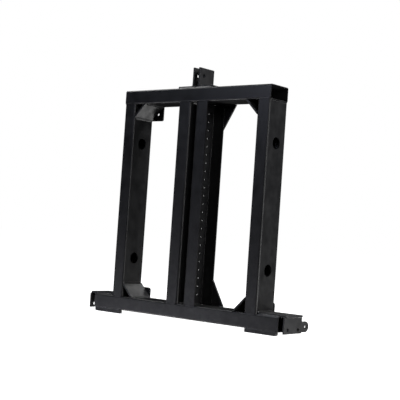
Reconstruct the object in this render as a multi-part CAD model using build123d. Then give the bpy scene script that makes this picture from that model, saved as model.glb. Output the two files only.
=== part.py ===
from build123d import *
import math
import os

# Pallet fork frame, welded from rectangular tube, formed channel and plate.
# Two posts stand between a top beam and a longer bottom bar. A mast of two channels, back to
# back, stands in the middle and leaves a slot between its webs. A clevis on the beam takes an
# upper link, and a bracket with a round-ended lug on each end of the bar takes a lower link.
# Axes: +X to the right seen from the front, +Y to the back, +Z up, millimetres.
# Origin: bottom centre of the whole frame's box.

# Outer frame
FRAME_WIDTH = 660.4         # over the outer faces of the posts
FRAME_HEIGHT = 812.8        # underside of the bar to the top of the beam
BAR_LENGTH = 838.2          # bottom bar, end to end
TUBE_FACE = 50.8            # tube width seen from the front
TUBE_DEPTH = 101.6          # tube size front to back
TUBE_WALL = 3.2
TUBE_CORNER = 6.35          # outside corner radius of the tube

# Cross holes through both side walls of each post
CROSS_HOLE = 41.3           # diameter
CROSS_HOLE_SPACING = 425.4  # between the upper and the lower hole

# Mast: two formed channels, back to back
MAST_SLOT = 25.4            # clear width between the two webs
MAST_FLANGE = 50.8          # flange width over the bend
MAST_PLATE = 4.76           # thickness of the formed plate
MAST_BEND = 3.2             # inside radius of the bends
ADJUST_HOLE = 7.1           # diameter of the holes in the webs
ADJUST_PITCH = 29.2         # from hole to hole up the web
ADJUST_SETBACK = 28.0       # hole centres to the back face of the mast
ADJUST_END_MARGIN = 30.0    # least distance from a hole centre to a channel end

# Triangular gussets behind the mast, and flat braces across the window corners
GUSSET_PLATE = 6.35
GUSSET_WIDTH = 54.0
GUSSET_HEIGHT = 92.0
BRACE_PLATE = 6.35
BRACE_LEG = 50.8            # from the corner of the window to the end of the brace

# Plates on the back of the frame
REAR_PLATE = 4.76
TAB_SIZE = 76.2             # upper tabs, square
TAB_CORNER = 6.0
TAB_HOLE = 10.3
FOOT_WIDTH = 96.0           # lower plates, inwards from the outer face of a post
FOOT_TOP = 36.2             # above the top of the bar
FOOT_BOTTOM = 6.0           # above the underside of the bar
FOOT_CORNER = 9.0

# Clevis on the beam
HITCH_BASE_LENGTH = 158.8
HITCH_BASE_DEPTH = 79.4
HITCH_BASE_PLATE = 6.35
HITCH_SETBACK = 6.35        # base and ears, back from the front face
EAR_PLATE = 6.35
EAR_GAP = 19.05
EAR_HEIGHT = 66.0
EAR_HOLE = 12.7
EAR_HOLE_FROM_FRONT = 24.15
EAR_HOLE_FROM_TOP = 27.9

# Lower link bracket on each end of the bar
BRACKET_PLATE = 6.35
BRACKET_GAP = 19.05         # between the end of the bar and the side plate
BRACKET_OVERHANG = 3.0      # top plate past the outer face of the side plate
BRACKET_SETBACK = 6.35      # top plate, back from the front face
BRACKET_CORNER = 6.0        # outer front corner of the top plate
SIDE_PLATE_DROP = 3.2       # side plate below the underside of the bar
SIDE_HOLE = 12.7
SIDE_HOLE_INSET = 21.0      # hole centres in from the front and back edges of the side plate
SIDE_HOLE_HEIGHT = 13.4     # above the lower edge of the side plate
LUG_RADIUS = 18.0
LUG_HOLE = 12.7
LUG_HOLE_OVERHANG = 33.0    # lug hole behind the back face of the frame
LUG_HOLE_HEIGHT = 20.2      # above the lower edge of the side plate
LUG_LAP = 44.6              # length of the lug that lies on the side plate

# Lips under the front edge of the bar, near its ends
LIP_LENGTH = 127.0
LIP_DROP = 12.7
LIP_DEPTH = 12.7
LIP_END_INSET = 6.0         # outer end of a lip in from the end of the bar
LIP_CORNER = 7.0

# Finish of cut edges
EDGE_BREAK = 0.8            # radius on the rims of plates
PLATE_CORNER = 1.6          # radius on the corners of plates that look square

# Planes and levels that the pieces share
overall_depth = TUBE_DEPTH + LUG_HOLE_OVERHANG + LUG_RADIUS
y_front = -overall_depth / 2
y_back = y_front + TUBE_DEPTH
y_middle = (y_front + y_back) / 2
z_bar_low = LIP_DROP
z_bar_top = z_bar_low + TUBE_FACE
z_beam_top = z_bar_low + FRAME_HEIGHT
z_beam_low = z_beam_top - TUBE_FACE
z_middle = (z_bar_top + z_beam_low) / 2
post_length = z_beam_low - z_bar_top
x_post_out = FRAME_WIDTH / 2
x_post_in = x_post_out - TUBE_FACE
x_bar_end = BAR_LENGTH / 2
x_mast_web = MAST_SLOT / 2
x_mast_tip = x_mast_web + MAST_FLANGE
x_side_plate = x_bar_end + BRACKET_GAP
z_side_low = z_bar_low - SIDE_PLATE_DROP


def outline(*corners):
    """Closed outline from (u, v, radius) corners, in order; a radius of 0 leaves a corner sharp."""
    shape = Polygon(*[(u, v) for u, v, radius in corners], align=None)
    for u, v, radius in corners:
        if radius > 0:
            corner = shape.vertices().sort_by_distance((u, v, 0))[0]
            shape = fillet(corner, radius)
    return shape


def rectangle(u_span, v_span, radii=(PLATE_CORNER,) * 4):
    """Rectangular outline; the radii go round from the low, low corner by way of high u."""
    u_low, u_high = u_span
    v_low, v_high = v_span
    points = [(u_low, v_low), (u_high, v_low), (u_high, v_high), (u_low, v_high)]
    return outline(*[(u, v, radius) for (u, v), radius in zip(points, radii)])


def plate(plane, shape, thickness, holes=()):
    """Plate with rounded rims on a plane, drilled square through at each (u, v, diameter)."""
    solid = extrude(shape, thickness, dir=(0, 0, 1))
    rims = solid.faces().sort_by(Axis.Z)[-1].edges() + solid.faces().sort_by(Axis.Z)[0].edges()
    solid = fillet(rims, EDGE_BREAK)
    for u, v, diameter in holes:
        solid -= Pos(u, v, thickness / 2) * Cylinder(diameter / 2, 2 * thickness)
    return plane * solid


def upright_plate(y_low, shape, thickness, holes=()):
    """Plate that faces the front, from an (x, z) outline; y_low is its front face."""
    plane = Plane(origin=(0, y_low + thickness, 0), x_dir=(1, 0, 0), z_dir=(0, -1, 0))
    return plate(plane, shape, thickness, holes)


def side_plate(x_low, shape, thickness, holes=()):
    """Plate that faces sideways, from a (y, z) outline; x_low is its face at lower X."""
    plane = Plane(origin=(x_low, 0, 0), x_dir=(0, 1, 0), z_dir=(1, 0, 0))
    return plate(plane, shape, thickness, holes)


def flat_plate(z_low, shape, thickness, holes=()):
    """Level plate, from an (x, y) outline; z_low is its underside."""
    return plate(Plane(origin=(0, 0, z_low)), shape, thickness, holes)


def tube_section():
    """Rectangular tube, TUBE_DEPTH along local x and TUBE_FACE along local y."""
    hollow_corner = TUBE_CORNER - TUBE_WALL
    outer = RectangleRounded(TUBE_DEPTH, TUBE_FACE, TUBE_CORNER)
    inner = RectangleRounded(TUBE_DEPTH - 2 * TUBE_WALL, TUBE_FACE - 2 * TUBE_WALL, hollow_corner)
    return outer - inner


def level_tube(length, z_low):
    """Tube along X, centred on the frame, with its front on the front plane."""
    solid = extrude(Plane.YZ * tube_section(), length / 2, both=True)
    return Pos(0, y_middle, z_low + TUBE_FACE / 2) * solid


def cross_cylinder(x_span, y, z, diameter):
    """Cylinder along X, for holes through upright walls."""
    x_low, x_high = x_span
    turned = Rot(0, 90, 0) * Cylinder(diameter / 2, x_high - x_low)
    return Pos((x_low + x_high) / 2, y, z) * turned


def make_post():
    """Right post, with the two cross holes half-way through its depth."""
    solid = extrude(Rot(0, 0, 90) * tube_section(), post_length)
    solid = Pos((x_post_in + x_post_out) / 2, y_middle, z_bar_top) * solid
    for side in (-1, 1):
        z_hole = z_middle + side * CROSS_HOLE_SPACING / 2
        solid -= cross_cylinder((x_post_in - 1, x_post_out + 1), y_middle, z_hole, CROSS_HOLE)
    return solid


def make_mast_channel():
    """Right channel: web beside the slot, flanges to the right, a row of holes up the web."""
    outer_bend = MAST_BEND + MAST_PLATE
    y_hollow = (y_front + MAST_PLATE, y_back - MAST_PLATE)
    outer = rectangle((x_mast_web, x_mast_tip), (y_front, y_back), (outer_bend, 0, 0, outer_bend))
    hollow_span = (x_mast_web + MAST_PLATE, x_mast_tip + MAST_PLATE)
    hollow = rectangle(hollow_span, y_hollow, (MAST_BEND, 0, 0, MAST_BEND))
    solid = Pos(0, 0, z_bar_top) * extrude(outer - hollow, post_length)
    gaps = int((post_length - 2 * ADJUST_END_MARGIN) / ADJUST_PITCH)
    z_first = z_middle - gaps * ADJUST_PITCH / 2
    web_span = (x_mast_web - 1, x_mast_web + MAST_PLATE + 1)
    for index in range(gaps + 1):
        z_hole = z_first + index * ADJUST_PITCH
        solid -= cross_cylinder(web_span, y_back - ADJUST_SETBACK, z_hole, ADJUST_HOLE)
    return solid


def make_gusset(z_root, up):
    """Right triangular gusset behind the mast; up is 1 above the bar and -1 under the beam."""
    shape = outline(
        (x_mast_tip, z_root, 0),
        (x_mast_tip + GUSSET_WIDTH, z_root, PLATE_CORNER / 2),
        (x_mast_tip, z_root + up * GUSSET_HEIGHT, PLATE_CORNER / 2),
    )
    return upright_plate(y_back - GUSSET_PLATE, shape, GUSSET_PLATE)


def make_brace(z_root, up):
    """Right brace across a window corner, mitred to the post and to the beam or bar."""
    mitre = BRACE_PLATE * math.sqrt(2)
    shape = outline(
        (x_post_in - BRACE_LEG, z_root, 0),
        (x_post_in - BRACE_LEG + mitre, z_root, 0),
        (x_post_in, z_root + up * (BRACE_LEG - mitre), 0),
        (x_post_in, z_root + up * BRACE_LEG, 0),
    )
    return upright_plate(y_front, shape, TUBE_DEPTH)


def make_rear_tab():
    """Right upper tab on the back of the post and the beam, with its hole in the window corner."""
    x_low = x_post_in - BRACE_LEG
    z_low = z_beam_low - BRACE_LEG
    radii = (TAB_CORNER, PLATE_CORNER, PLATE_CORNER, TAB_CORNER)
    shape = rectangle((x_low, x_low + TAB_SIZE), (z_low, z_low + TAB_SIZE), radii)
    hole = (x_low + BRACE_LEG / 2, z_low + BRACE_LEG / 2, TAB_HOLE)
    return upright_plate(y_back, shape, REAR_PLATE, [hole])


def make_foot_plate():
    """Right lower plate on the back of the post and the bar."""
    x_span = (x_post_out - FOOT_WIDTH, x_post_out)
    z_span = (z_bar_low + FOOT_BOTTOM, z_bar_top + FOOT_TOP)
    radii = (PLATE_CORNER, PLATE_CORNER, FOOT_CORNER, FOOT_CORNER)
    return upright_plate(y_back, rectangle(x_span, z_span, radii), REAR_PLATE)


def make_hitch_base():
    """Base plate of the clevis, flat on the beam."""
    x_span = (-HITCH_BASE_LENGTH / 2, HITCH_BASE_LENGTH / 2)
    y_span = (y_front + HITCH_SETBACK, y_front + HITCH_SETBACK + HITCH_BASE_DEPTH)
    return flat_plate(z_beam_top, rectangle(x_span, y_span), HITCH_BASE_PLATE)


def make_hitch_ear():
    """Right ear of the clevis, with the hole for the upper link pin."""
    y_low = y_front + HITCH_SETBACK
    z_low = z_beam_top + HITCH_BASE_PLATE
    shape = rectangle((y_low, y_low + HITCH_BASE_DEPTH), (z_low, z_low + EAR_HEIGHT))
    hole = (y_low + EAR_HOLE_FROM_FRONT, z_low + EAR_HEIGHT - EAR_HOLE_FROM_TOP, EAR_HOLE)
    return side_plate(EAR_GAP / 2, shape, EAR_PLATE, [hole])


def make_bracket_top():
    """Right top plate, on the bar from the post outwards and over the side plate."""
    x_span = (x_post_out, x_side_plate + BRACKET_PLATE + BRACKET_OVERHANG)
    radii = (PLATE_CORNER, BRACKET_CORNER, PLATE_CORNER, PLATE_CORNER)
    shape = rectangle(x_span, (y_front + BRACKET_SETBACK, y_back), radii)
    return flat_plate(z_bar_top, shape, BRACKET_PLATE)


def make_bracket_side():
    """Right side plate, hung under the top plate, clear of the end of the bar."""
    shape = rectangle((y_front, y_back), (z_side_low, z_bar_top))
    z_hole = z_side_low + SIDE_HOLE_HEIGHT
    holes = [(y, z_hole, SIDE_HOLE) for y in (y_front + SIDE_HOLE_INSET, y_back - SIDE_HOLE_INSET)]
    return side_plate(x_side_plate, shape, BRACKET_PLATE, holes)


def make_lug():
    """Right lug, on the inner face of the side plate, with a round end behind the frame."""
    y_hole = y_back + LUG_HOLE_OVERHANG
    z_hole = z_side_low + LUG_HOLE_HEIGHT
    y_start = y_back - LUG_LAP
    strip = rectangle((y_start, y_hole), (z_hole - LUG_RADIUS, z_hole + LUG_RADIUS),
                      (PLATE_CORNER, 0, 0, PLATE_CORNER))
    shape = strip + Pos(y_hole, z_hole) * Circle(LUG_RADIUS)
    bolt_hole = (y_back - SIDE_HOLE_INSET, z_side_low + SIDE_HOLE_HEIGHT, SIDE_HOLE)
    return side_plate(x_side_plate - BRACKET_PLATE, shape, BRACKET_PLATE,
                      [(y_hole, z_hole, LUG_HOLE), bolt_hole])


def make_lip():
    """Right lip under the front edge of the bar, rounded at its outer lower corner."""
    x_out = x_bar_end - LIP_END_INSET
    radii = (PLATE_CORNER, LIP_CORNER, 0, 0)
    shape = rectangle((x_out - LIP_LENGTH, x_out), (z_bar_low - LIP_DROP, z_bar_low), radii)
    return upright_plate(y_front, shape, LIP_DEPTH)


single_nodes = {
    "top_beam": level_tube(FRAME_WIDTH, z_beam_low),
    "bottom_bar": level_tube(BAR_LENGTH, z_bar_low),
    "hitch_base_plate": make_hitch_base(),
}
paired_nodes = {
    "post": make_post(),
    "mast_channel": make_mast_channel(),
    "mast_gusset_upper": make_gusset(z_beam_low, -1),
    "mast_gusset_lower": make_gusset(z_bar_top, 1),
    "corner_brace_upper": make_brace(z_beam_low, -1),
    "corner_brace_lower": make_brace(z_bar_top, 1),
    "rear_tab": make_rear_tab(),
    "rear_foot_plate": make_foot_plate(),
    "hitch_ear": make_hitch_ear(),
    "bracket_top_plate": make_bracket_top(),
    "bracket_side_plate": make_bracket_side(),
    "link_lug": make_lug(),
    "front_lip": make_lip(),
}

os.makedirs("parts", exist_ok=True)
for name, shape in single_nodes.items():
    export_step(shape, f"parts/{name}.step")
for name, shape in paired_nodes.items():
    export_step(shape, f"parts/{name}_right.step")
    export_step(mirror(shape, Plane.YZ), f"parts/{name}_left.step")
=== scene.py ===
"""Looks of a welded pallet fork frame: coats of paint, weld beads and a plain studio."""
import logging
from dataclasses import dataclass, field
from enum import Enum

import bpy
import numpy as np
from mathutils import Matrix, Vector


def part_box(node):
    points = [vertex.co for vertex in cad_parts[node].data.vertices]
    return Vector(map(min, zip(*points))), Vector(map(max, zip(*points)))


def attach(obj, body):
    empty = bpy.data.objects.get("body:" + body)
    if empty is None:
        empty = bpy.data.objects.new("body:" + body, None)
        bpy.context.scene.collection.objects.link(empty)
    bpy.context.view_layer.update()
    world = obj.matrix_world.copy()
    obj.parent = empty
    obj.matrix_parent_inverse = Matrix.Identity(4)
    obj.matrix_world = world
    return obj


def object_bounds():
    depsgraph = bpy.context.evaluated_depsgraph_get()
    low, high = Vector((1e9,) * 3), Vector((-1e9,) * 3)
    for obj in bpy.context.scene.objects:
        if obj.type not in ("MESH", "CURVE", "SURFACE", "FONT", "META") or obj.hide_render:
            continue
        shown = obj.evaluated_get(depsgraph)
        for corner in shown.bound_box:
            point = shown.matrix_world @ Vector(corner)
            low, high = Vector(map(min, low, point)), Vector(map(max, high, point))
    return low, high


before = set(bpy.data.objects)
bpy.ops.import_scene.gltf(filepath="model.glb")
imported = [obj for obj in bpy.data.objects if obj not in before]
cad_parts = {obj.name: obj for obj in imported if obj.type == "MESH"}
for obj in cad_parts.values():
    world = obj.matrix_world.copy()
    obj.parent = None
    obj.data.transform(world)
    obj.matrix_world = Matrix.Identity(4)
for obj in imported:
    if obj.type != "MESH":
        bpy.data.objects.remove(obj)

LOG = logging.getLogger("fork_frame")
CAD_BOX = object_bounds()
BODY = "root"


# ---------------------------------------------------------------- meshes

def unit(vector: np.ndarray) -> np.ndarray:
    """Returns the vector at a length of one."""
    return vector / np.linalg.norm(vector)


def signed_volume(points: np.ndarray, faces: list[tuple[int, ...]]) -> float:
    """Volume inside a closed surface, positive where its faces point outwards.

    Each face is fanned into triangles (a, b, c), and the volume is the sum of a . (b x c) / 6.

    Args:
        points: Vertex places, one row each.
        faces: Vertex numbers of each face.

    Returns:
        The signed volume in cubic metres.
    """
    fans = [(f[0], f[i], f[i + 1]) for f in faces for i in range(1, len(f) - 1)]
    a, b, c = np.moveaxis(points[np.array(fans)], 1, 0)
    return float(np.einsum("ij,ij->i", a, np.cross(b, c)).sum() / 6.0)


def ring_faces(rings: int, count: int) -> list[tuple[int, ...]]:
    """Faces of a closed skin made of rings of points and a pole at each end.

    Args:
        rings: Number of rings; ring r holds the points r * count to (r + 1) * count - 1.
        count: Points in each ring. The two poles come after the last ring.

    Returns:
        Four-sided faces between rings, then triangles to both poles.
    """
    ring = np.arange(rings - 1)[:, None] * count
    here = np.arange(count)[None, :]
    after = (here + 1) % count
    quads = np.stack([ring + here, ring + after, ring + count + after, ring + count + here], -1)
    faces = [tuple(face) for face in quads.reshape(-1, 4).tolist()]
    first, last = rings * count, rings * count + 1
    top = (rings - 1) * count
    turn = np.arange(count)
    faces += np.stack([np.full(count, first), (turn + 1) % count, turn], -1).tolist()
    faces += np.stack([np.full(count, last), top + turn, top + (turn + 1) % count], -1).tolist()
    return [tuple(face) for face in faces]


@dataclass
class Skin:
    """Points and faces that are gathered into one mesh piece."""

    points: list[np.ndarray] = field(default_factory=list)
    faces: list[tuple[int, ...]] = field(default_factory=list)

    def add(self, points: np.ndarray, faces: list[tuple[int, ...]]) -> None:
        """Adds a closed surface, turned round if its faces point inwards.

        Args:
            points: Vertex places, one row each.
            faces: Vertex numbers of each face.
        """
        if signed_volume(points, faces) < 0.0:
            faces = [face[::-1] for face in faces]
        shift = sum(len(block) for block in self.points)
        self.points.append(points)
        self.faces += [tuple(index + shift for index in face) for face in faces]

    def piece(self, name: str, material: bpy.types.Material) -> bpy.types.Object:
        """Makes the object, smooth shaded, and lets it ride on the frame.

        Args:
            name: Name of the new piece.
            material: Finish of the whole piece.

        Returns:
            The new object, at the origin with its place in its mesh.
        """
        mesh = bpy.data.meshes.new(name)
        mesh.from_pydata(np.concatenate(self.points).tolist(), [], self.faces)
        mesh.polygons.foreach_set("use_smooth", np.ones(len(mesh.polygons), dtype=bool))
        mesh.materials.append(material)
        mesh.update()
        piece = bpy.data.objects.new(name, mesh)
        bpy.context.scene.collection.objects.link(piece)
        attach(piece, BODY)
        LOG.info("%s: %d vertices, %d faces", name, len(mesh.vertices), len(mesh.polygons))
        return piece


# ---------------------------------------------------------------- finishes

@dataclass(frozen=True)
class Grain:
    """A noise: its lumps per metre, its detail, and the span of its grey values that is used."""

    per_metre: float
    detail: float
    span: tuple[float, float] = (0.0, 1.0)


class NodeSheet:
    """A material's node tree, with short calls to add and join nodes."""

    def __init__(self, name: str) -> None:
        """Starts an empty material with an output node."""
        self.material = bpy.data.materials.new(name)
        self.material.use_nodes = True
        self.tree = self.material.node_tree
        self.tree.nodes.clear()
        self.output = self.tree.nodes.new("ShaderNodeOutputMaterial")

    def add(self, kind: str, inputs: dict | None = None, **settings: object) -> bpy.types.Node:
        """Adds a node.

        Args:
            kind: Blender's name of the node type.
            inputs: Socket name or number to a value, or to an output socket to join.
            **settings: Attributes of the node itself.

        Returns:
            The new node.
        """
        node = self.tree.nodes.new(kind)
        for key, value in settings.items():
            setattr(node, key, value)
        for key, value in (inputs or {}).items():
            if isinstance(value, bpy.types.NodeSocket):
                self.tree.links.new(value, node.inputs[key])
            else:
                node.inputs[key].default_value = value
        return node

    def noise(self, place: bpy.types.NodeSocket, grain: Grain) -> bpy.types.NodeSocket:
        """Returns the grey value of a noise."""
        node = self.add("ShaderNodeTexNoise", {
            "Vector": place, "Scale": grain.per_metre, "Detail": grain.detail})
        return node.outputs["Fac"]

    def graded(self, place: bpy.types.NodeSocket, grain: Grain, low: float,
               high: float) -> bpy.types.NodeSocket:
        """Spreads the used span of a noise from a low value to a high one.

        Args:
            place: Object coordinates.
            grain: The noise.
            low: What the low end of its span gives.
            high: What the high end gives.

        Returns:
            The graded value.
        """
        return self.spread(self.noise(place, grain), (grain.span[0], low), (grain.span[1], high))

    def spread(self, value: bpy.types.NodeSocket, low: tuple[float, float],
               high: tuple[float, float]) -> bpy.types.NodeSocket:
        """Maps a grey value in a straight line, held at both ends.

        Args:
            value: Grey value to map.
            low: A value in, and what it gives.
            high: Another value in, and what it gives.

        Returns:
            The mapped value.
        """
        node = self.add("ShaderNodeMapRange", {
            "Value": value, "From Min": low[0], "From Max": high[0],
            "To Min": low[1], "To Max": high[1]})
        return node.outputs["Result"]

    def sum(self, first: bpy.types.NodeSocket, second: bpy.types.NodeSocket | float,
            how: str = "ADD") -> bpy.types.NodeSocket:
        """Returns the result of a two-sided sum, such as ADD or MULTIPLY."""
        node = self.add("ShaderNodeMath", {0: first, 1: second}, operation=how)
        return node.outputs[0]


@dataclass(frozen=True)
class PowderCoat:
    """Satin black powder coat on steel, in metres."""

    name: str
    dark: tuple[float, float, float] = (0.0034, 0.0035, 0.0040)
    light: tuple[float, float, float] = (0.0072, 0.0073, 0.0080)
    worn: tuple[float, float, float] = (0.022, 0.022, 0.024)
    # Grey of the low film: dust, and also painted floor light that lightens the low parts.
    dust_and_floor_light: tuple[float, float, float] = (0.046, 0.045, 0.044)
    gloss: tuple[float, float] = (0.36, 0.50)
    peel_per_metre: float = 420.0
    peel_depth: float = 0.00005
    sag_depth: float = 0.00016
    edge_reach: float = 0.0016
    coat: float = 0.0
    coat_roughness: float = 0.3
    ior: float = 1.5
    cloud: Grain = Grain(7.0, 4.0)
    streak: Grain = Grain(46.0, 3.0)
    streak_stretch: float = 0.22
    streak_share: float = 0.35
    tone_span: tuple[float, float] = (0.38, 0.62)
    patch: Grain = Grain(30.0, 5.0, (0.3, 0.7))
    edge_turn: tuple[float, float] = (0.995, 0.93)
    edge_most: float = 0.8
    chip: Grain = Grain(160.0, 3.0, (0.42, 0.62))
    chip_least: float = 0.15
    # Heights over which the film fades out: painted floor light and dust, lighter towards the ground.
    dust_and_floor_light_height: tuple[float, float] = (0.02, 0.30)
    dust_and_floor_light_most: float = 0.34
    blotch: Grain = Grain(55.0, 6.0, (0.40, 0.66))
    blotch_least: float = 0.25
    sag: Grain = Grain(26.0, 2.0)
    peel_detail: float = 2.0

    def build(self) -> bpy.types.Material:
        """Makes the material.

        Colour: two near-blacks mixed by a slow cloud and by faint upright streaks, lighter along
        edges where the coat is thin.
        Dust and painted floor light: a thin grey film in blotches, strongest near the ground, standing
        for dust and also painting the floor's bounced light on the low parts.
        Roughness: a medium noise between the two gloss values.
        Relief: the fine lumps of sprayed powder over slow waves of the steel.

        Returns:
            The new material.
        """
        sheet = NodeSheet(self.name)
        place = sheet.add("ShaderNodeTexCoord").outputs["Object"]
        stretched = sheet.add("ShaderNodeMapping", {
            "Vector": place, "Scale": (1.0, 1.0, self.streak_stretch)}).outputs["Vector"]
        cloud = sheet.sum(sheet.noise(place, self.cloud), 1.0 - self.streak_share, "MULTIPLY")
        streak = sheet.sum(sheet.noise(stretched, self.streak), self.streak_share, "MULTIPLY")
        low, high = self.tone_span
        tone = sheet.add("ShaderNodeMix", {
            "Factor": sheet.spread(sheet.sum(cloud, streak), (low, 0.0), (high, 1.0)),
            "A": (*self.dark, 1.0), "B": (*self.light, 1.0)}, data_type="RGBA")
        edge = self.edge_mask(sheet, place)
        colour = sheet.add("ShaderNodeMix", {
            "Factor": edge, "A": tone.outputs["Result"], "B": (*self.worn, 1.0)}, data_type="RGBA")
        # Mixes in the grey film near the ground: dust blotches, plus painted floor light on the low
        # parts.
        dusted_and_floor_lit = sheet.add("ShaderNodeMix", {
            "Factor": self.dust_and_floor_light_mask(sheet, place), "A": colour.outputs["Result"],
            "B": (*self.dust_and_floor_light, 1.0)}, data_type="RGBA")
        shader = sheet.add("ShaderNodeBsdfPrincipled", {
            "Base Color": dusted_and_floor_lit.outputs["Result"],
            "Roughness": sheet.graded(place, self.patch, *self.gloss), "IOR": self.ior,
            "Coat Weight": self.coat, "Coat Roughness": self.coat_roughness,
            "Normal": self.relief(sheet, place)})
        sheet.tree.links.new(shader.outputs["BSDF"], sheet.output.inputs["Surface"])
        return sheet.material

    def edge_mask(self, sheet: NodeSheet, place: bpy.types.NodeSocket) -> bpy.types.NodeSocket:
        """Marks the sharp edges, broken up by a noise.

        The dot product of the true normal and the normal rounded over the edge's reach falls below
        one at an edge. The mask rises as it falls, and is multiplied by the noise.

        Args:
            sheet: Node tree to add to.
            place: Object coordinates.

        Returns:
            The mask, 0 on flat faces.
        """
        rounded = sheet.add("ShaderNodeBevel", {"Radius": self.edge_reach}, samples=4)
        true = sheet.add("ShaderNodeNewGeometry").outputs["Normal"]
        turn = sheet.add("ShaderNodeVectorMath", {0: rounded.outputs["Normal"], 1: true},
                         operation="DOT_PRODUCT")
        least, most = self.edge_turn
        edge = sheet.spread(turn.outputs["Value"], (least, 0.0), (most, self.edge_most))
        return sheet.sum(edge, sheet.graded(place, self.chip, self.chip_least, 1.0), "MULTIPLY")

    def dust_and_floor_light_mask(self, sheet: NodeSheet, place: bpy.types.NodeSocket) -> bpy.types.NodeSocket:
        """Returns how much of the grey film lies on each spot: most near the ground, none high up. It is
        dust in blotches, and also painted floor light on the low parts.
        """
        # Lighter towards the ground: painted floor light, broken up by dust blotches.
        height = sheet.add("ShaderNodeSeparateXYZ", {"Vector": place}).outputs["Z"]
        low, high = self.dust_and_floor_light_height
        dust_and_floor_light_film = sheet.spread(height, (low, self.dust_and_floor_light_most), (high, 0.0))
        return sheet.sum(dust_and_floor_light_film, sheet.graded(place, self.blotch, self.blotch_least, 1.0), "MULTIPLY")

    def relief(self, sheet: NodeSheet, place: bpy.types.NodeSocket) -> bpy.types.NodeSocket:
        """Returns a normal with fine sprayed lumps over slow waves of the steel."""
        waves = sheet.add("ShaderNodeBump", {
            "Height": sheet.noise(place, self.sag), "Strength": 1.0, "Distance": self.sag_depth})
        lumps = sheet.add("ShaderNodeBump", {
            "Height": sheet.noise(place, Grain(self.peel_per_metre, self.peel_detail)), "Strength": 1.0,
            "Distance": self.peel_depth, "Normal": waves.outputs["Normal"]})
        return lumps.outputs["Normal"]


class Finish(Enum):
    """The coats of the frame's kinds of steel."""

    TUBE = PowderCoat("tube_powder_coat")
    CHANNEL = PowderCoat("channel_powder_coat", gloss=(0.38, 0.52))
    PLATE = PowderCoat("plate_powder_coat", gloss=(0.40, 0.55), peel_per_metre=360.0,
                       peel_depth=0.00007, light=(0.0125, 0.0128, 0.0142))
    BEAD = PowderCoat("weld_powder_coat", gloss=(0.26, 0.40), peel_per_metre=520.0,
                      worn=(0.045, 0.046, 0.048), edge_reach=0.0006, coat=0.25)


class Paintshop:
    """Makes each coat once and puts it on pieces."""

    def __init__(self) -> None:
        """Builds every finish."""
        self.coats = {finish: finish.value.build() for finish in Finish}

    def dress(self, nodes: list[str], finish: Finish) -> None:
        """Puts a coat on CAD nodes.

        Args:
            nodes: Names of the nodes.
            finish: The coat to use.
        """
        for name in nodes:
            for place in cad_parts[name].material_slots:
                place.material = self.coats[finish]
            LOG.info("%s: %s", name, finish.value.name)


# ---------------------------------------------------------------- weld beads

class BeadForm(Enum):
    """How a bead lies: in the corner between two faces, or as a low dome over a flush joint."""

    FILLET = "fillet"
    FLUSH = "flush"


@dataclass(frozen=True)
class WeldRun:
    """One straight run of weld. In a fillet, each arm lies along a face, away from the root.

    In a flush bead, the first arm lies across the joint and the second stands out of it.
    """

    start: tuple[float, float, float]
    end: tuple[float, float, float]
    arm_1: tuple[float, float, float]
    arm_2: tuple[float, float, float]
    leg: float = 0.0050
    form: BeadForm = BeadForm.FILLET

    def mirrored(self) -> "WeldRun":
        """Returns the same run on the left side."""
        flip = [tuple(np.array(v) * (-1.0, 1.0, 1.0)) for v in
                (self.start, self.end, self.arm_1, self.arm_2)]
        return WeldRun(*flip, self.leg, self.form)


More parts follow.
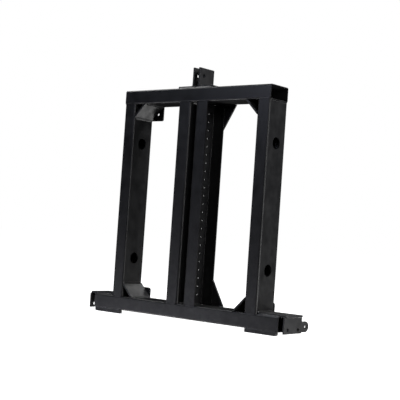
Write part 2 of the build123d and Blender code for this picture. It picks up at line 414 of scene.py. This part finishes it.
@dataclass(frozen=True)
class Welder:
    """How the beads are laid down, in metres."""

    pitch: float = 0.0034
    rings_per_ripple: int = 7
    fewest_rings: int = 8
    section_points: int = 11
    ripple: float = 0.11
    ripple_power: float = 0.7
    wander: float = 0.07
    wave_lengths: tuple[float, float] = (0.019, 0.0071)
    wave_phases: tuple[float, float] = (1.7, 2.3)
    short_wave_share: float = 0.6
    lag: float = 0.75
    crown: float = 0.55
    flush_rise: float = 0.42
    sink: float = 0.18

    def surface(self, run: WeldRun, seed: int) -> tuple[np.ndarray, list[tuple[int, ...]]]:
        """Works out one rippled bead as a closed skin.

        Place(s, a) = root(s) + leg * taper(s) * swell(s, a) * (u(a) * arm_1 + v(a) * arm_2).
        In a fillet, u = k cos a and v = k sin a over a quarter turn, with k between the straight
        chord 1 / (cos a + sin a) and the round arc 1. In a flush bead, u = cos a and v = rise *
        sin a over a half turn. Swell = 1 + ripple * (|sin(pi x)|^power - 1/2) + slow waves, where
        x is the distance in pitches, held back in the middle of the bead so that the ripples are
        crescents. Taper is a quarter circle over one leg at both ends.

        Args:
            run: Where the bead lies.
            seed: Number that sets the phase of this bead's waves.

        Returns:
            Points and faces of the closed skin.
        """
        start, end = np.array(run.start), np.array(run.end)
        arm_1, arm_2 = unit(np.array(run.arm_1)), unit(np.array(run.arm_2))
        length = float(np.linalg.norm(end - start))
        rings = max(self.fewest_rings, int(length / self.pitch * self.rings_per_ripple))
        s = (np.arange(rings) + 0.5) / rings * length
        reach = np.minimum(s, length - s) / run.leg
        taper = np.sqrt(1.0 - (1.0 - np.clip(reach, 0.0, 1.0)) ** 2)
        u, v, middle = self.section(run.form)
        x = (s[:, None] - self.lag * run.leg * middle[None, :]) / self.pitch
        beat = np.abs(np.sin(np.pi * x + seed)) ** self.ripple_power - 0.5
        long, short = (np.sin(s / wave + phase * seed) for wave, phase in
                       zip(self.wave_lengths, self.wave_phases))
        slow = long + self.short_wave_share * short
        swell = 1.0 + self.ripple * beat + self.wander * slow[:, None]
        size = run.leg * taper[:, None] * swell
        root = start[None, :] + s[:, None] * unit(end - start)[None, :]
        arms = u[None, :, None] * arm_1 + v[None, :, None] * arm_2
        arc = root[:, None, :] + size[:, :, None] * arms
        inward = -arm_2 if run.form is BeadForm.FLUSH else -unit(arm_1 + arm_2)
        buried = root[:, None, :] + (self.sink * run.leg * taper)[:, None, None] * inward
        ring = np.concatenate([arc, buried], axis=1)
        count = ring.shape[1]
        points = np.concatenate([ring.reshape(-1, 3), start[None, :], end[None, :]])
        return points, ring_faces(rings, count)

    def section(self, form: BeadForm) -> tuple[np.ndarray, np.ndarray, np.ndarray]:
        """Cross-section of a bead of unit leg.

        Args:
            form: Fillet or flush.

        Returns:
            The shares of both arms at each point, and how near the point is to the middle.
        """
        if form is BeadForm.FLUSH:
            angle = np.linspace(0.0, np.pi, self.section_points)
            return np.cos(angle), self.flush_rise * np.sin(angle), np.sin(angle)
        angle = np.linspace(0.0, np.pi / 2.0, self.section_points)
        chord = 1.0 / (np.cos(angle) + np.sin(angle))
        reach = chord + self.crown * (1.0 - chord) * 0.5
        return reach * np.cos(angle), reach * np.sin(angle), np.sin(2.0 * angle)

    def piece(self, name: str, runs: list[WeldRun], shop: Paintshop) -> bpy.types.Object:
        """Lays several runs and joins them in one piece.

        Args:
            name: Name of the piece.
            runs: The runs, on either side of the frame.
            shop: Where the paint comes from.

        Returns:
            The new piece.
        """
        skin = Skin()
        for number, run in enumerate(runs):
            skin.add(*self.surface(run, number))
        return skin.piece(name, shop.coats[Finish.BEAD])

    def pair(self, name: str, runs: list[WeldRun], shop: Paintshop) -> None:
        """Lays the runs on the right and their mirror image on the left."""
        self.piece(f"{name}_right", runs, shop)
        self.piece(f"{name}_left", [run.mirrored() for run in runs], shop)


# ---------------------------------------------------------------- sub-assemblies

@dataclass(frozen=True)
class Span:
    """Box of a CAD node, with its lowest and highest corners."""

    node: str

    @property
    def low(self) -> np.ndarray:
        """Lowest corner."""
        return np.array(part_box(self.node)[0])

    @property
    def high(self) -> np.ndarray:
        """Highest corner."""
        return np.array(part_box(self.node)[1])


def across(axis: int, low: float, high: float, first: float, second: float) -> list[tuple[float, ...]]:
    """Two ends of a line along one axis.

    Args:
        axis: 0, 1 or 2 for a line along X, Y or Z.
        low: Where the line starts on its axis.
        high: Where it ends.
        first: Its place on the first other axis, in X, Y, Z order.
        second: Its place on the second other axis.

    Returns:
        Both end points.
    """
    ends = []
    for value in (low, high):
        point = [first, second]
        point.insert(axis, value)
        ends.append(tuple(point))
    return ends


@dataclass
class OuterFrame:
    """Top beam, posts, bottom bar, braces and lips."""

    shop: Paintshop
    welder: Welder
    corner: float = 0.00635
    groove_depth: float = 0.0022
    groove_leg: float = 0.0036
    flush_leg: float = 0.0034
    brace_leg: float = 0.0048

    def build(self) -> None:
        """Paints the tubes and braces and lays their beads."""
        self.shop.dress(["top_beam", "bottom_bar", "post_left", "post_right"], Finish.TUBE)
        plates = [f"{kind}_{side}" for side in ("left", "right") for kind in
                  ("corner_brace_upper", "corner_brace_lower", "front_lip")]
        self.shop.dress(plates, Finish.PLATE)
        self.welder.pair("weld_post_top", self.post_top(), self.shop)
        self.welder.pair("weld_post_foot", self.post_foot(), self.shop)
        self.welder.pair("weld_braces", self.brace_runs(), self.shop)
        self.welder.pair("weld_lip", self.lip_runs(), self.shop)

    def groove(self, x_low: float, x_high: float, y: float, z: float, out: float) -> WeldRun:
        """Bead in the groove between a square-cut end and a tube's rounded corner.

        Args:
            x_low: Start of the run.
            x_high: End of the run.
            y: Front or back plane of the tube.
            z: Middle of the groove.
            out: -1 at the front, 1 at the back.

        Returns:
            The run, sunk a little behind the plane.
        """
        start, end = across(0, x_low, x_high, y - out * self.groove_depth, z)
        return WeldRun(start, end, (0, 0, 1), (0, out, 0), self.groove_leg, BeadForm.FLUSH)

    def post_top(self) -> list[WeldRun]:
        """Runs between the right post and the beam."""
        post = Span("post_right")
        z = post.high[2]
        x_span = (post.low[0] + self.corner, post.high[0])
        start, end = across(1, post.low[1] + self.corner, post.high[1] - self.corner, post.high[0], z)
        return [
            self.groove(*x_span, post.low[1], z + self.groove_depth, -1.0),
            self.groove(*x_span, post.high[1], z + self.groove_depth, 1.0),
            WeldRun(start, end, (0, 0, 1), (1, 0, 0), self.flush_leg, BeadForm.FLUSH),
        ]

    def post_foot(self) -> list[WeldRun]:
        """Runs between the right post, the bar and the bracket's top plate."""
        post, top = Span("post_right"), Span("bracket_top_plate_right")
        z = post.low[2]
        x_span = (post.low[0] + self.corner, post.high[0] - self.corner)
        start, end = across(1, post.low[1] + self.corner, post.high[1] - self.corner,
                            post.high[0], top.high[2])
        return [
            self.groove(*x_span, post.low[1], z - self.groove_depth, -1.0),
            self.groove(*x_span, post.high[1], z - self.groove_depth, 1.0),
            WeldRun(start, end, (1, 0, 0), (0, 0, 1)),
        ]

    def brace_runs(self) -> list[WeldRun]:
        """Runs along both ends of the right braces, on the side of the window."""
        runs = []
        for node, up in (("corner_brace_upper_right", 1.0), ("corner_brace_lower_right", -1.0)):
            brace = Span(node)
            z_root = brace.high[2] if up > 0 else brace.low[2]
            z_tip = brace.low[2] if up > 0 else brace.high[2]
            slope = (-1.0, 0.0, up)
            y_span = (brace.low[1] + self.corner, brace.high[1] - self.corner)
            runs.append(WeldRun(*across(1, *y_span, brace.high[0], z_tip), (0, 0, -up), slope,
                                self.brace_leg))
            runs.append(WeldRun(*across(1, *y_span, brace.low[0], z_root), (-1, 0, 0),
                                (1.0, 0.0, -up), self.brace_leg))
        return runs

    def lip_runs(self) -> list[WeldRun]:
        """Runs along the front and the back of the right lip."""
        lip = Span("front_lip_right")
        z = lip.high[2]
        inset = self.flush_leg
        start, end = across(0, lip.low[0] + inset, lip.high[0] - inset, lip.high[1], z)
        return [
            self.groove(lip.low[0] + inset, lip.high[0], lip.low[1], z + self.groove_depth, -1.0),
            WeldRun(start, end, (0, 1, 0), (0, 0, -1)),
        ]


@dataclass
class Mast:
    """The two channels with their holes, and the gussets behind them."""

    shop: Paintshop
    welder: Welder
    plate: float = 0.00476
    leg: float = 0.0042
    flush_share: float = 0.8

    def build(self) -> None:
        """Paints the mast and lays its beads."""
        self.shop.dress(["mast_channel_left", "mast_channel_right"], Finish.CHANNEL)
        gussets = [f"mast_gusset_{level}_{side}" for level in ("upper", "lower")
                   for side in ("left", "right")]
        self.shop.dress(gussets, Finish.PLATE)
        self.welder.pair("weld_mast", self.channel_runs(), self.shop)
        self.welder.pair("weld_gussets", self.gusset_runs(), self.shop)

    def channel_runs(self) -> list[WeldRun]:
        """Runs round both ends of the right channel."""
        channel = Span("mast_channel_right")
        frame_runs = OuterFrame(self.shop, self.welder)
        bend = 2.0 * self.plate
        y_span = (channel.low[1] + bend, channel.high[1] - bend)
        x_flange = (channel.low[0] + bend, channel.high[0])
        runs = []
        for z, up in ((channel.high[2], -1.0), (channel.low[2], 1.0)):
            groove_z = z - up * frame_runs.groove_depth
            runs.append(frame_runs.groove(*x_flange, channel.low[1], groove_z, -1.0))
            runs.append(frame_runs.groove(*x_flange, channel.high[1], groove_z, 1.0))
            web_out = channel.low[0] + self.plate
            runs.append(WeldRun(*across(1, *y_span, web_out, z), (1, 0, 0), (0, 0, up), self.leg))
            runs.append(WeldRun(*across(1, *y_span, channel.low[0], z), (-1, 0, 0), (0, 0, up),
                                self.leg))
            y_inner = channel.low[1] + self.plate
            runs.append(WeldRun(*across(0, *x_flange, y_inner, z), (0, 1, 0), (0, 0, up), self.leg))
        return runs

    def gusset_runs(self) -> list[WeldRun]:
        """Runs along the two straight sides of both right gussets, on their front."""
        runs = []
        for level, up in (("upper", -1.0), ("lower", 1.0)):
            plate = Span(f"mast_gusset_{level}_right")
            z = plate.high[2] if up < 0 else plate.low[2]
            y = plate.low[1]
            x_span = (plate.low[0] + self.leg, plate.high[0] - 2.0 * self.leg)
            z_span = sorted((z + up * self.leg, z + up * (plate.high[2] - plate.low[2] - 2.0 * self.leg)))
            runs.append(WeldRun(*across(0, *x_span, y, z), (0, -1, 0), (0, 0, up), self.leg))
            runs.append(WeldRun(*across(2, *z_span, plate.low[0], y), (1, 0, 0), (0, -1, 0),
                                self.leg * self.flush_share, BeadForm.FLUSH))
        return runs


@dataclass
class BackPlates:
    """Drilled tabs and plain plates on the back of the frame's corners."""

    shop: Paintshop
    welder: Welder
    leg: float = 0.0045
    inset: float = 0.004
    corner_lean: float = 0.35

    def build(self) -> None:
        """Paints the plates and lays the beads on their outer edges."""
        nodes = [f"{kind}_{side}" for kind in ("rear_tab", "rear_foot_plate")
                 for side in ("left", "right")]
        self.shop.dress(nodes, Finish.PLATE)
        self.welder.pair("weld_rear_tab", self.tab_runs(), self.shop)
        self.welder.pair("weld_rear_foot", self.foot_runs(), self.shop)

    def tab_runs(self) -> list[WeldRun]:
        """Runs on the top, the outer side and the post's share of the lower edge of a tab."""
        tab, post = Span("rear_tab_right"), Span("post_right")
        y = tab.low[1]
        x_span = (tab.low[0] + self.inset, tab.high[0] - self.inset)
        z_span = (tab.low[2] + self.inset, tab.high[2] - self.inset)
        x_lap = (post.low[0] + 2.0 * self.inset, tab.high[0] - self.inset)
        return [
            WeldRun(*across(0, *x_span, y, tab.high[2]), (0, 0, 1), (0, 1, 0), self.leg),
            WeldRun(*across(2, *z_span, tab.high[0], y), (1, 0, 0), (0, 1, 0), self.leg),
            WeldRun(*across(0, *x_lap, y, tab.low[2]), (0, 0, -1), (0, 1, 0), self.leg),
        ]

    def foot_runs(self) -> list[WeldRun]:
        """Runs on the post's share of the upper edge and on the lower edge of a foot plate."""
        foot, post = Span("rear_foot_plate_right"), Span("post_right")
        y = foot.low[1]
        x_lap = (post.low[0] + 2.0 * self.inset, foot.high[0] - 3.0 * self.inset)
        x_span = (foot.low[0] + self.inset, foot.high[0] - self.inset)
        return [
            WeldRun(*across(0, *x_lap, y, foot.high[2]), (0, 0, 1), (0, 1, 0), self.leg),
            WeldRun(*across(0, *x_span, y, foot.low[2]), (0, -self.corner_lean, -1),
                    (0, 1, 0), self.leg),
        ]


@dataclass
class Hitch:
    """Clevis for the upper link, on the beam."""

    shop: Paintshop
    welder: Welder
    leg: float = 0.0050
    end_share: float = 0.8
    front_share: float = 0.7
    corner_lean: float = 0.3

    def build(self) -> None:
        """Paints the clevis and lays its beads."""
        self.shop.dress(["hitch_base_plate", "hitch_ear_left", "hitch_ear_right"], Finish.PLATE)
        self.welder.pair("weld_hitch_ear", self.ear_runs(), self.shop)
        self.welder.pair("weld_hitch_base", self.base_runs(), self.shop)

    def ear_runs(self) -> list[WeldRun]:
        """Runs on the outer side and the back end of the right ear."""
        ear = Span("hitch_ear_right")
        z = ear.low[2]
        return [
            WeldRun(*across(1, ear.low[1], ear.high[1], ear.high[0], z), (1, 0, 0), (0, 0, 1), self.leg),
            WeldRun(*across(0, ear.low[0], ear.high[0], ear.high[1], z), (0, 1, 0), (0, 0, 1),
                    self.leg * self.end_share),
        ]

    def base_runs(self) -> list[WeldRun]:
        """Runs round the right half of the base plate."""
        base = Span("hitch_base_plate")
        z = base.low[2]
        x_high, y_low, y_high = base.high[0], base.low[1], base.high[1]
        return [
            WeldRun(*across(1, y_low + self.leg, y_high - self.leg, x_high, z), (1, 0, 0), (0, 0, 1),
                    self.leg),
            WeldRun(*across(0, 0.0, x_high - self.leg, y_high, z), (0, 1, 0), (0, 0, 1), self.leg),
            WeldRun(*across(0, 0.0, x_high - self.leg, y_low, z), (0, -1, -self.corner_lean), (0, 0, 1),
                    self.leg * self.front_share),
        ]


@dataclass
class LinkBrackets:
    """Bracket and round-ended lug on each end of the bar."""

    shop: Paintshop
    welder: Welder
    leg: float = 0.0046
    edge_share: float = 0.8
    outer_share: float = 0.55
    corner_lean: float = 0.3

    def build(self) -> None:
        """Paints the brackets and lays their beads."""
        nodes = [f"{kind}_{side}" for kind in ("bracket_top_plate", "bracket_side_plate", "link_lug")
                 for side in ("left", "right")]
        self.shop.dress(nodes, Finish.PLATE)
        self.welder.pair("weld_bracket", self.bracket_runs(), self.shop)
        self.welder.pair("weld_lug", self.lug_runs(), self.shop)

    def bracket_runs(self) -> list[WeldRun]:
        """Runs between the right bracket's plates and the bar."""
        top, side, bar = (Span(n) for n in
                          ("bracket_top_plate_right", "bracket_side_plate_right", "bottom_bar"))
        x_span = (top.low[0] + self.leg, bar.high[0])
        y_span = (top.low[1] + self.leg, top.high[1] - self.leg)
        z = top.low[2]
        return [
            WeldRun(*across(0, *x_span, top.low[1], z), (0, -1, -self.corner_lean), (0, 0, 1),
                    self.leg * self.edge_share),
            WeldRun(*across(1, *y_span, side.low[0], z), (-1, 0, 0), (0, 0, -1), self.leg),
            WeldRun(*across(1, *y_span, side.high[0], z), (1, 0, 0), (0, 0, -1),
                    self.leg * self.outer_share),
            WeldRun(*across(1, *y_span, bar.high[0], z), (1, 0, 0), (0, 0, -1),
                    self.leg * self.edge_share),
        ]

    def lug_runs(self) -> list[WeldRun]:
        """Runs between the right lug and its side plate."""
        lug, side = Span("link_lug_right"), Span("bracket_side_plate_right")
        y_span = (lug.low[1] + self.leg, side.high[1] - self.leg)
        z_span = (lug.low[2] + self.leg, lug.high[2] - self.leg)
        return [
            WeldRun(*across(1, *y_span, side.low[0], lug.high[2]), (0, 0, 1), (-1, 0, 0), self.leg),
            WeldRun(*across(2, *z_span, side.low[0], side.high[1]), (0, 1, 0), (1, 0, 0), self.leg),
        ]


# ---------------------------------------------------------------- studio

@dataclass(frozen=True)
class Camera:
    """Long lens, low and to the front right, tilted a little; angles in degrees.

    It stands beside the frame's middle, before its front plane and above the bar's underside.
    """

    side: float = 2.2152
    before: float = 2.6219
    above: float = 0.3071
    azimuth: float = 39.42
    rise: float = 1.86
    roll: float = 3.90
    lens_mm: float = 88.16
    sensor_mm: float = 36.0
    clip_end: float = 100.0

    def build(self) -> None:
        """Makes the scene's camera.

        Its forward direction is (-sin a cos r, cos a cos r, sin r), for azimuth a and rise r, and
        its right and up directions are then turned about it by the roll.
        """
        turn, rise, roll = np.radians([self.azimuth, self.rise, self.roll])
        forward = np.array([-np.sin(turn) * np.cos(rise), np.cos(turn) * np.cos(rise), np.sin(rise)])
        level = np.array([np.cos(turn), np.sin(turn), 0.0])
        upright = np.cross(level, forward)
        right = np.cos(roll) * level + np.sin(roll) * upright
        up = np.cos(roll) * upright - np.sin(roll) * level
        data = bpy.data.cameras.new("camera")
        data.sensor_width = self.sensor_mm
        data.lens = self.lens_mm
        data.clip_end = self.clip_end
        camera = bpy.data.objects.new("camera", data)
        axes = Matrix(np.column_stack([right, up, -forward]).tolist()).to_4x4()
        bar = Span("bottom_bar")
        place = (self.side, bar.low[1] - self.before, bar.low[2] + self.above)
        camera.matrix_world = Matrix.Translation(place) @ axes
        bpy.context.scene.collection.objects.link(camera)
        bpy.context.scene.camera = camera


@dataclass(frozen=True)
class Lamp:
    """A soft lamp that points at the frame."""

    name: str
    place: tuple[float, float, float]
    power: float
    size: float
    tint: tuple[float, float, float] = (1.0, 1.0, 1.0)

    def build(self, target: Vector) -> None:
        """Hangs the lamp.

        Args:
            target: Point that the lamp faces.
        """
        data = bpy.data.lights.new(self.name, "AREA")
        data.shape = "DISK"
        data.size = self.size
        data.energy = self.power
        data.color = self.tint
        lamp = bpy.data.objects.new(self.name, data)
        lamp.location = self.place
        aim = target - Vector(self.place)
        lamp.rotation_euler = aim.to_track_quat("-Z", "Y").to_euler()
        bpy.context.scene.collection.objects.link(lamp)


@dataclass
class Studio:
    """Plain pale floor, pale surroundings and soft lamps."""

    floor_reach: float = 20.0
    floor_tone: tuple[float, float, float] = (0.86, 0.86, 0.86)
    floor_glow: float = 1.0
    floor_grain: Grain = Grain(3.0, 3.0, (0.3, 0.7))
    floor_gloss: tuple[float, float] = (0.7, 0.8)
    floor_specular: float = 0.1
    sky_seen: float = 1.0
    sky_lit: float = 0.004
    lamps: tuple[Lamp, ...] = (
        Lamp("near_right_lamp", (2.6, -1.2, 0.9), 6.0, 0.8),
        Lamp("front_low_lamp", (-1.6, -1.8, -0.6), 10.0, 1.0, (0.9, 0.9, 1.0)),
        Lamp("front_high_lamp", (-1.0, -2.4, 2.2), 12.0, 1.0, (0.7, 0.8, 1.0)),
        Lamp("beam_lamp", (-0.1, -0.9, 1.05), 1.0, 0.4, (0.8, 0.8, 1.0)),
        Lamp("edge_lamp", (1.7, -1.3, 1.45), 8.0, 0.3),
        Lamp("left_high_lamp", (-2.0, -0.3, 2.6), 22.0, 0.9),
        Lamp("left_low_lamp", (-1.8, -0.2, -1.6), 24.0, 0.9),
        Lamp("right_low_lamp", (2.4, -0.2, -0.4), 35.0, 1.6),
        Lamp("right_high_lamp", (1.8, 0.4, 2.2), 55.0, 1.2),
        Lamp("back_right_lamp", (2.0, 2.2, -1.2), 15.0, 1.2),
        Lamp("back_high_lamp", (-0.4, 2.6, 2.6), 18.0, 1.2),
        Lamp("back_low_lamp", (0.0, 2.3, -1.5), 18.0, 1.2),
    )

    def build(self) -> None:
        """Sets up the floor, the surroundings, the lamps and the camera."""
        bpy.context.scene.view_settings.view_transform = "Standard"
        self.floor()
        self.sky()
        low, high = (Vector(corner) for corner in CAD_BOX)
        for lamp in self.lamps:
            lamp.build((low + high) / 2.0)
        Camera().build()

    def floor(self) -> None:
        """Makes the floor, level with the lowest point of the frame.

        Only the camera sees it: the low lamps shine through it, in place of its own bounced light.
        """
        z = CAD_BOX[0][2]
        reach = self.floor_reach
        corners = [(-reach, -reach, z), (reach, -reach, z), (reach, reach, z), (-reach, reach, z)]
        mesh = bpy.data.meshes.new("floor")
        mesh.from_pydata(corners, [], [(0, 1, 2, 3)])
        sheet = NodeSheet("pale_floor")
        place = sheet.add("ShaderNodeTexCoord").outputs["Object"]
        rough = sheet.graded(place, self.floor_grain, *self.floor_gloss)
        shader = sheet.add("ShaderNodeBsdfPrincipled", {
            "Base Color": (*self.floor_tone, 1.0), "Roughness": rough,
            "Specular IOR Level": self.floor_specular,
            "Emission Color": (1.0, 1.0, 1.0, 1.0), "Emission Strength": self.floor_glow})
        sheet.tree.links.new(shader.outputs["BSDF"], sheet.output.inputs["Surface"])
        mesh.materials.append(sheet.material)
        floor = bpy.data.objects.new("floor", mesh)
        bpy.context.scene.collection.objects.link(floor)
        floor.visible_diffuse = floor.visible_glossy = floor.visible_shadow = False

    def sky(self) -> None:
        """Makes pale surroundings that light the frame more weakly than they look."""
        world = bpy.data.worlds.new("surroundings")
        bpy.context.scene.world = world
        world.use_nodes = True
        tree = world.node_tree
        shine = tree.nodes["Background"]
        rays = tree.nodes.new("ShaderNodeLightPath")
        choose = tree.nodes.new("ShaderNodeMapRange")
        tree.links.new(rays.outputs["Is Camera Ray"], choose.inputs["Value"])
        choose.inputs["To Min"].default_value = self.sky_lit
        choose.inputs["To Max"].default_value = self.sky_seen
        tree.links.new(choose.outputs["Result"], shine.inputs["Strength"])
        shine.inputs["Color"].default_value = (1.0, 1.0, 1.0, 1.0)


def main() -> None:
    """Builds the coats, the sub-assemblies and the studio."""
    logging.basicConfig(level=logging.INFO, format="%(name)s: %(message)s")
    shop = Paintshop()
    welder = Welder()
    for assembly in (OuterFrame, Mast, BackPlates, Hitch, LinkBrackets):
        assembly(shop, welder).build()
        LOG.info("%s built", assembly.__name__)
    Studio().build()


if __name__ == "__main__":
    main()
